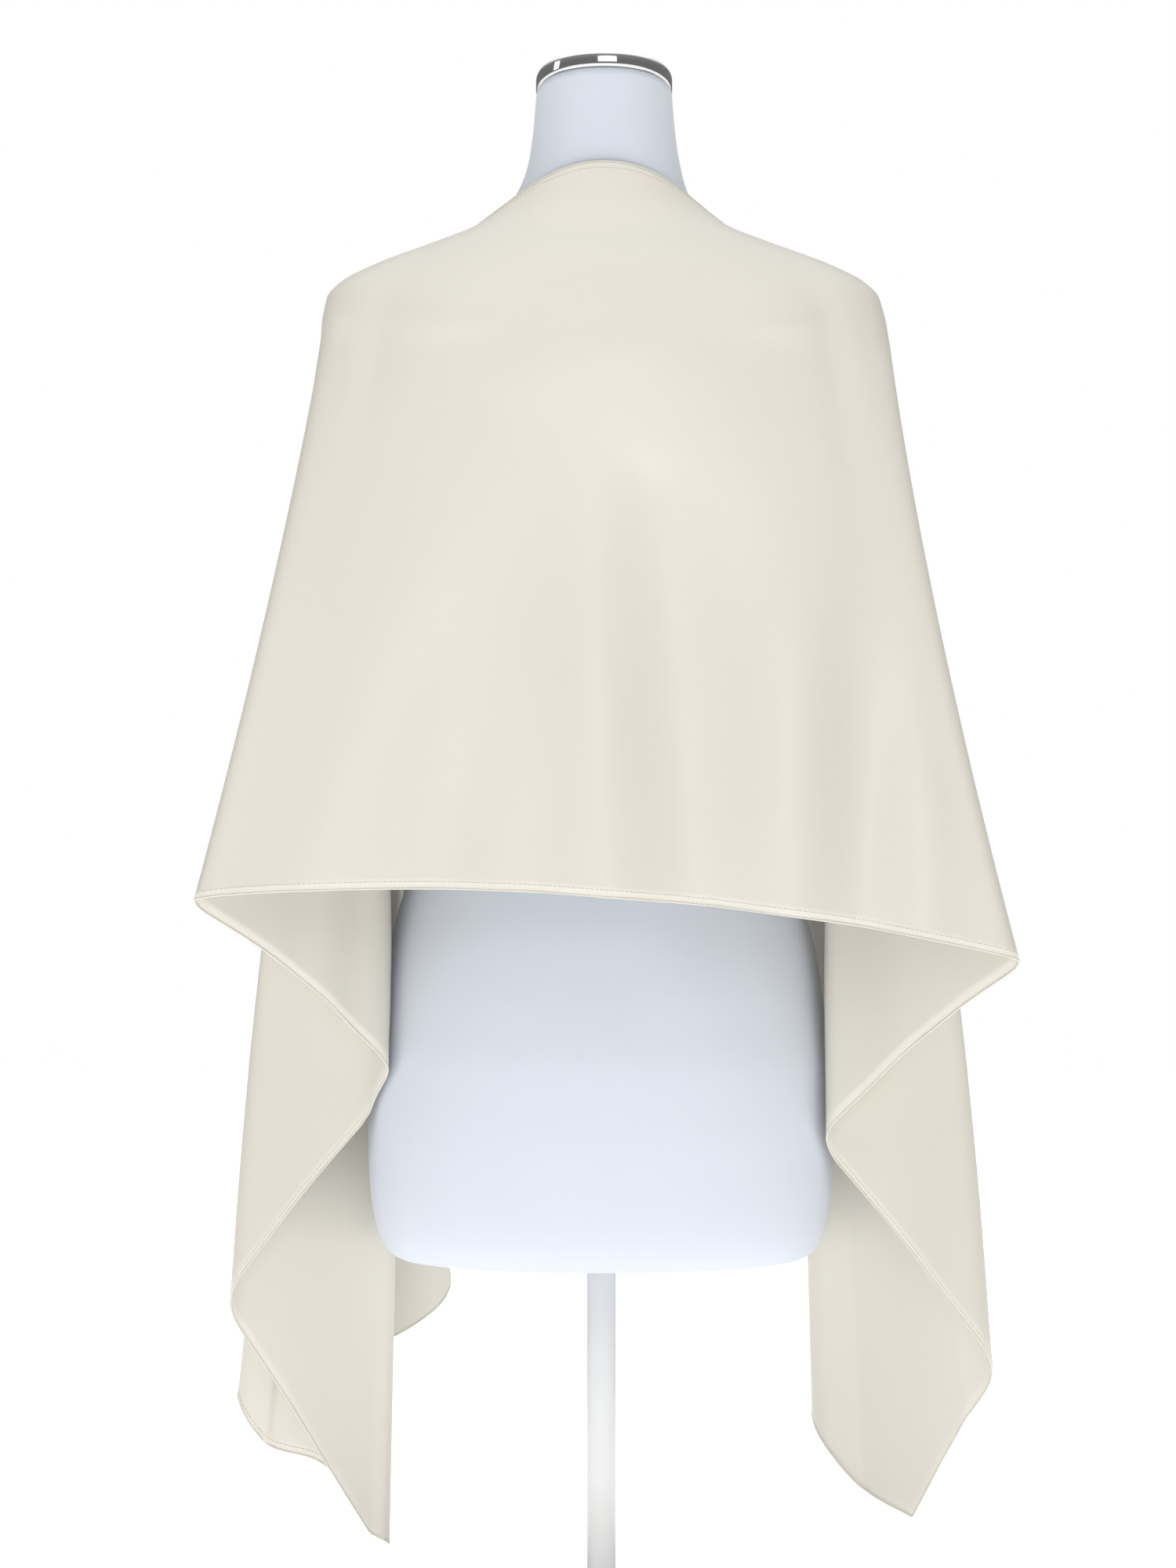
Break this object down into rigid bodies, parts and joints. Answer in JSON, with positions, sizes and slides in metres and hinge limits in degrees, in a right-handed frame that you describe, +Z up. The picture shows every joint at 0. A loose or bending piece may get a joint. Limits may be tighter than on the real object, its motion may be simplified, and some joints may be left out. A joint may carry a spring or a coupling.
{
  "type": "evening stole on a limbless dress form",
  "caption": "Plain satin evening stole worn round the shoulders of a limbless dress form, both ends falling at the sides in zigzag folds.",
  "frame": {"origin": "centre of the stand base's underside, on the floor", "axes": "+Z up, +Y towards the form's front, +X towards the wearer's right"},
  "size_m": [0.5505, 0.3582, 1.1081],
  "materials": {
    "satin": "ivory satin",
    "jersey": "white jersey",
    "cap_metal": "polished",
    "stand_paint": "white paint"
  },
  "bodies": {
    "root": {"stole_back": "satin", "stole_left_fall": "satin", "stole_left_front": "satin", "stole_right_fall": "satin", "stole_right_front": "satin", "dress_form": "jersey", "neck_cap": "cap_metal", "stand_pole": "stand_paint", "stand_base": "stand_paint"}
  },
  "joints": []
}
